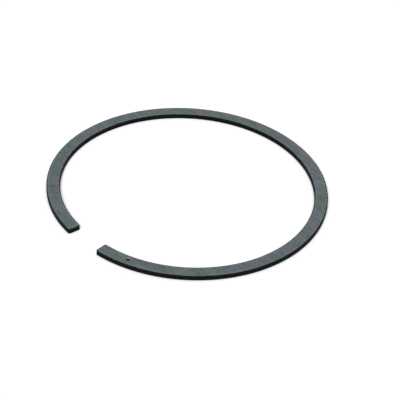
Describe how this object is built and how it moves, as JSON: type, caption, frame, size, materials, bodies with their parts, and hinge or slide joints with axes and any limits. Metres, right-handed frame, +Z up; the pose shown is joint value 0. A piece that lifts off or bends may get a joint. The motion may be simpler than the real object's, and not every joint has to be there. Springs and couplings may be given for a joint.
{
  "type": "piston ring",
  "caption": "Split compression ring of rectangular section that springs outwards to seal a piston in its cylinder, lying loose with its gap open and its dotted side up.",
  "frame": {"origin": "on the lower side, at the middle of the loose ring's outline", "axes": "+Z up through the dotted side, +Y from the gap to the back of the ring, +X to the right with the gap in front"},
  "size_m": [0.0936, 0.0911, 0.0016],
  "materials": {
    "ring_iron": "dark phosphate coating: slate grey on the ground sides, near black on the running face, the inner face and the ends"
  },
  "bodies": {
    "root": {"compression_ring": "ring_iron"}
  },
  "joints": []
}
